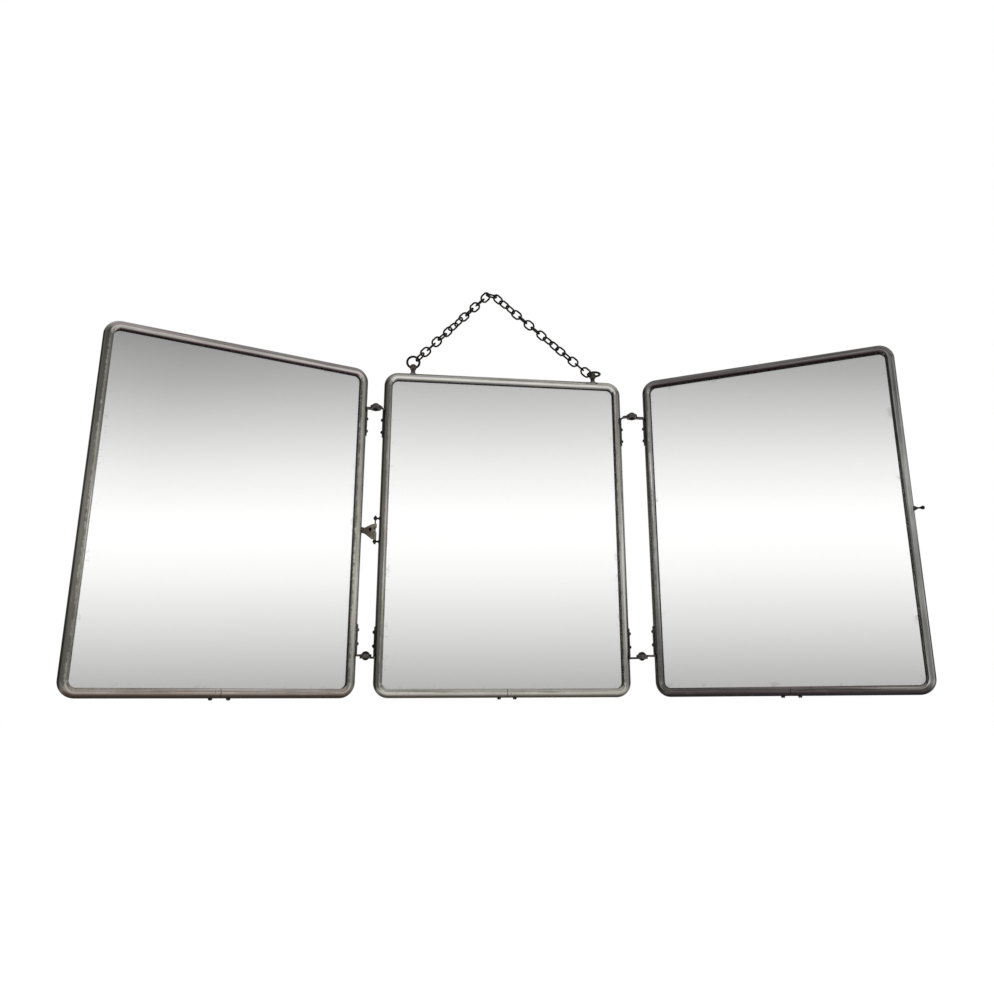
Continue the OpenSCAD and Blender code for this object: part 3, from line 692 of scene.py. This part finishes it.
# Outward from the tube's middle line, where the silver starts to go, and is gone.
SILVER_EDGE = (-CORNER_R, -TUBE_R)
SPECK_SCALE, SPECK_SIZE = 420, (0.20, 0.06)
SPECK_SHARE = 0.7  # of the lost silver that is lost in specks
SILVER_CLOUD_SHOWS = (0.55, 0.68)

CARD_LIGHT, CARD_DARK = (148, 124, 94), (122, 98, 70)
CARD_SHOWS = (0.35, 0.65)
CARD_ROUGH = 0.9

TIN_SEED = 3.0
TIN_LIGHT, TIN_DARK = (158, 157, 150), (118, 115, 106)
TIN_SHOWS = (0.3, 0.7)
TIN_METAL = 0.8
GRAIN_ACROSS, GRAIN_ALONG = 700.0, 12.0  # scales of the rolled grain, per metre
GRAIN_COLOUR, GRAIN_STRENGTH = (98, 96, 90), 0.3
GRAIN_SHOWS = (0.4, 0.7)
GRAIN_ROUGH = (0.34, 0.56)
RUST_COLOUR, RUST_STRENGTH = (112, 70, 44), 0.85
RUST_PATCH_SHOWS, RUST_GRIT_SHOWS = (0.58, 0.70), (0.42, 0.60)
RUST_METAL, RUST_ROUGH = -0.6, 0.3  # what rust adds to the tin's own


def clear_glass():
    """Clean old glass, faintly green, with the trace of a wipe."""
    finish = Finish("clear_glass")
    finish.set("Transmission Weight", 1.0)
    finish.set("IOR", GLASS_IOR)
    finish.set("Base Color", GLASS_TINT)
    wipe = finish.noise(scale=30, detail=3, rough=0.6, distortion=0.8, seed=21.0)
    finish.set("Roughness", finish.times(finish.fade(wipe, WIPE_SHOWS), WIPE_ROUGH))
    return finish.material


def silvering(side):
    """The glass's silver, gone in specks and short clouds along its edge."""
    finish = Finish(f"silvering_{side}")
    across, _, height = leaf_place(finish, side)
    reach = corner_place(finish, across, height)[-1]
    edge = finish.fade(finish.minus(reach, CORNER_R), SILVER_EDGE)
    specks = finish.specks(SPECK_SCALE, SPECK_SIZE)
    cloud = finish.noise(scale=90, detail=5, rough=0.7, distortion=0.3, seed=4.0)
    patchy = finish.times_plus(specks, SPECK_SHARE, 1.0 - SPECK_SHARE)
    lost = finish.times(edge, finish.times(finish.fade(cloud, SILVER_CLOUD_SHOWS), patchy))
    finish.set("Metallic", 1.0)
    finish.set("Base Color", finish.mix(lost, SILVER, srgb(*LOST_SILVER)))
    finish.set("Roughness", finish.times(lost, LOST_ROUGH))
    return finish.material


def card_stock():
    """Brown card, cloudy, with fibres."""
    finish = Finish("brown_card")
    fibre = finish.noise(scale=700, detail=5, rough=0.7)
    cloud = finish.noise(scale=18, detail=4, rough=0.6)
    both = finish.times_plus(fibre, 0.5, finish.times(cloud, 0.5))
    base = finish.mix(finish.fade(both, CARD_SHOWS), srgb(*CARD_DARK), srgb(*CARD_LIGHT))
    finish.set("Base Color", base)
    finish.set("Roughness", CARD_ROUGH)
    finish.bump(fibre, strength=0.4, distance=0.0002)
    return finish.material


def tin_sheet():
    """Dull tin: drifting oxide clouds, rolled grain and rust spots."""
    finish = Finish("tin_back")
    clouds = finish.noise(scale=14, detail=6, rough=0.62, distortion=0.6, seed=TIN_SEED)
    scales = (GRAIN_ACROSS, GRAIN_ACROSS, GRAIN_ALONG)
    axes = zip(finish.split(finish.place), scales)
    grain_at = finish.join(*(finish.times(axis, scale) for axis, scale in axes))
    grain = finish.noise(scale=1.0, detail=3, rough=0.6, seed=TIN_SEED + 4, at=grain_at)
    base = finish.mix(finish.fade(clouds, TIN_SHOWS), srgb(*TIN_LIGHT), srgb(*TIN_DARK))
    base = finish.stain(base, finish.fade(grain, GRAIN_SHOWS), GRAIN_COLOUR, GRAIN_STRENGTH)
    patches = finish.noise(scale=34, detail=6, rough=0.7, distortion=0.4, seed=TIN_SEED + 8)
    grit = finish.noise(scale=210, detail=4, rough=0.6, seed=TIN_SEED + 11)
    rust = finish.times(
        finish.fade(patches, RUST_PATCH_SHOWS), finish.fade(grit, RUST_GRIT_SHOWS)
    )
    finish.set("Base Color", finish.stain(base, rust, RUST_COLOUR, RUST_STRENGTH))
    finish.set("Metallic", finish.times_plus(rust, RUST_METAL, TIN_METAL))
    rough = finish.mix_numbers(grain, *GRAIN_ROUGH)
    finish.set("Roughness", finish.times_plus(rust, RUST_ROUGH, rough))
    relief = finish.times_plus(clouds, 0.8, finish.times(grain, 0.2))
    finish.bump(relief, strength=0.35, distance=0.0006)
    return finish.material


# ---- Browned steel ----------------------------------------------------------

EDGE_SHOWS = (0.515, 0.60)  # how sharp an edge is where its wear and painted highlight start to show, and show whole
FINE_SHOWS = (0.36, 0.60)
WORN_AND_GLINT_STRENGTH = 0.75
BROWN_SHOWS = (0.34, 0.68)
STEEL_METAL = 0.9
ROUGH_SHOWS = (0.3, 0.7)
ROUGH_SPREAD = 0.2  # of the dull places over the glossy ones
# Painted shade that darkens the hasp's stamped hollow.
HOLLOW_SHADE_COLOUR = (34, 27, 22)
HOLLOW_SHADE_ENDS = (0.8, 0.5)  # as shares of the hollow's reach
SAME_WAY = 0.999  # least cosine between faces that look the same way
HOLLOW_DEPTH = (0.2 * MM, 0.9 * MM)


def drop_hollow():
    """Middle and reach of the floor of the drop that is stamped into the hasp."""
    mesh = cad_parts["hasp_plate"].data
    front = front_face("hasp_plate")
    shallow, deep = HOLLOW_DEPTH
    floor = [
        face for face in mesh.polygons
        if face.normal.dot(front.normal) > SAME_WAY
        and shallow < front.normal.dot(front.center - face.center) < deep
    ]
    area = sum(face.area for face in floor)
    middle = sum((face.center * face.area for face in floor), Vector()) / area
    rim = {k for face in floor for k in face.vertices}
    return middle, max((mesh.vertices[k].co - middle).length for k in rim)


def dark_steel(name, seed, cool, warm, worn_and_glint_to, gloss, hollow=None):
    """Browned steel, lighter on its edges and heads as wear and as a painted highlight, with
    painted shade in a hollow.
    """
    finish = Finish(name)
    clouds = finish.noise(scale=150, detail=5, rough=0.65, distortion=0.2, seed=seed)
    fine = finish.noise(scale=1100, detail=4, rough=0.6, seed=seed + 3)
    edge = finish.add("ShaderNodeNewGeometry").outputs["Pointiness"]
    # Wear on sharp edges and heads, which also paints their highlight.
    worn_and_glint = finish.times(finish.fade(edge, EDGE_SHOWS), finish.fade(fine, FINE_SHOWS))
    base = finish.mix(finish.fade(clouds, BROWN_SHOWS), srgb(*cool), srgb(*warm))
    base = finish.stain(base, worn_and_glint, worn_and_glint_to, WORN_AND_GLINT_STRENGTH)
    if hollow:
        middle, reach = hollow
        away = finish.add("ShaderNodeVectorMath", operation="DISTANCE")
        finish.put(away.inputs[0], finish.place)
        finish.put(away.inputs[1], middle)
        # Painted shade in the hollow, darkest at its middle.
        hollow_shade = finish.fade(away.outputs["Value"], [share * reach for share in HOLLOW_SHADE_ENDS])
        base = finish.stain(base, hollow_shade, HOLLOW_SHADE_COLOUR)
    finish.set("Base Color", base)
    finish.set("Metallic", STEEL_METAL)
    dull = finish.fade(clouds, ROUGH_SHOWS)
    finish.set("Roughness", finish.mix_numbers(dull, gloss, gloss + ROUGH_SPREAD))
    relief = finish.times_plus(clouds, 0.6, finish.times(fine, 0.4))
    finish.bump(relief, strength=0.35, distance=0.00015)
    return finish.material


# ---- The CAD pieces' finishes -----------------------------------------------

NICKELS = {side: nickel(side) for side in SIDES}
GLASS = clear_glass()
CARD = card_stock()
TIN = tin_sheet()
STEEL = dark_steel(
    "browned_steel",
    seed=2.0,
    cool=(34, 32, 31),
    warm=(50, 44, 40),
    worn_and_glint_to=(116, 112, 107),
    gloss=0.13,
)
STUD = dark_steel(
    "stud_steel",
    seed=5.0,
    cool=(70, 65, 60),
    warm=(94, 85, 76),
    worn_and_glint_to=(176, 170, 160),
    gloss=0.18,
)
CHAIN = dark_steel(
    "chain_steel",
    seed=6.0,
    cool=(36, 33, 32),
    warm=(50, 43, 39),
    worn_and_glint_to=(84, 78, 72),
    gloss=0.28,
)
HASP = dark_steel(
    "hasp_metal",
    seed=9.0,
    cool=(124, 116, 105),
    warm=(104, 94, 83),
    worn_and_glint_to=(168, 160, 146),
    gloss=0.34,
    hollow=drop_hollow(),
)
BY_ENDING = {
    "_glass": GLASS,
    "_card": CARD,
    "_back": TIN,
    "_chain_stud": STUD,
    "_ring": CHAIN,
}


def finish_of(node):
    if node.endswith("_frame"):
        return NICKELS[node.split("_")[0]]
    if node == "hasp_plate":
        return HASP
    if node.startswith("chain_"):
        return CHAIN
    for ending, material in BY_ENDING.items():
        if node.endswith(ending):
            return material
    return STEEL


for name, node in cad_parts.items():
    node.data.materials.clear()
    node.data.materials.append(finish_of(name))

# ---- The silver on the back of each glass -----------------------------------

SILVER_T = 0.03 * MM
SILVER_INSET = 0.25 * MM
CORNER_STEPS = 16


def rounded_slab(half_x, half_z, radius, depths, place):
    """A closed sheet with round corners, between two depths of a leaf."""
    sheet = bmesh.new()
    rims = []
    for depth in depths:
        rim = []
        for corner, (sign_x, sign_z) in enumerate(((1, 1), (-1, 1), (-1, -1), (1, -1))):
            for k in range(CORNER_STEPS + 1):
                turn = math.radians(90 * (corner + k / CORNER_STEPS))
                x = sign_x * (half_x - radius) + radius * math.cos(turn)
                z = sign_z * (half_z - radius) + radius * math.sin(turn)
                rim.append(sheet.verts.new(place @ Vector((x, depth, z))))
        rims.append(rim)
        sheet.faces.new(rim)
    front, back = rims
    for k in range(len(front)):
        following = (k + 1) % len(front)
        sheet.faces.new((front[k], front[following], back[following], back[k]))
    bmesh.ops.recalc_face_normals(sheet, faces=sheet.faces)
    return sheet


def make_silver(side):
    middle, angle = LEAVES[side]
    place = Matrix.Translation(middle) @ Matrix.Rotation(angle, 4, "Z")
    own = place.inverted()
    points = [own @ vertex.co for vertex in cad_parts[f"{side}_glass"].data.vertices]
    half_x = max(point.x for point in points) - SILVER_INSET
    half_z = max(point.z for point in points) - SILVER_INSET
    back = max(point.y for point in points) - SILVER_T
    sheet = rounded_slab(half_x, half_z, CORNER_R, (back - SILVER_T, back), place)
    mesh = bpy.data.meshes.new(f"{side}_silvering")
    sheet.to_mesh(mesh)
    sheet.free()
    mesh.materials.append(silvering(side))
    piece = bpy.data.objects.new(f"{side}_silvering", mesh)
    scene.collection.objects.link(piece)
    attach(piece, BODY_OF[side])


for side in SIDES:
    make_silver(side)
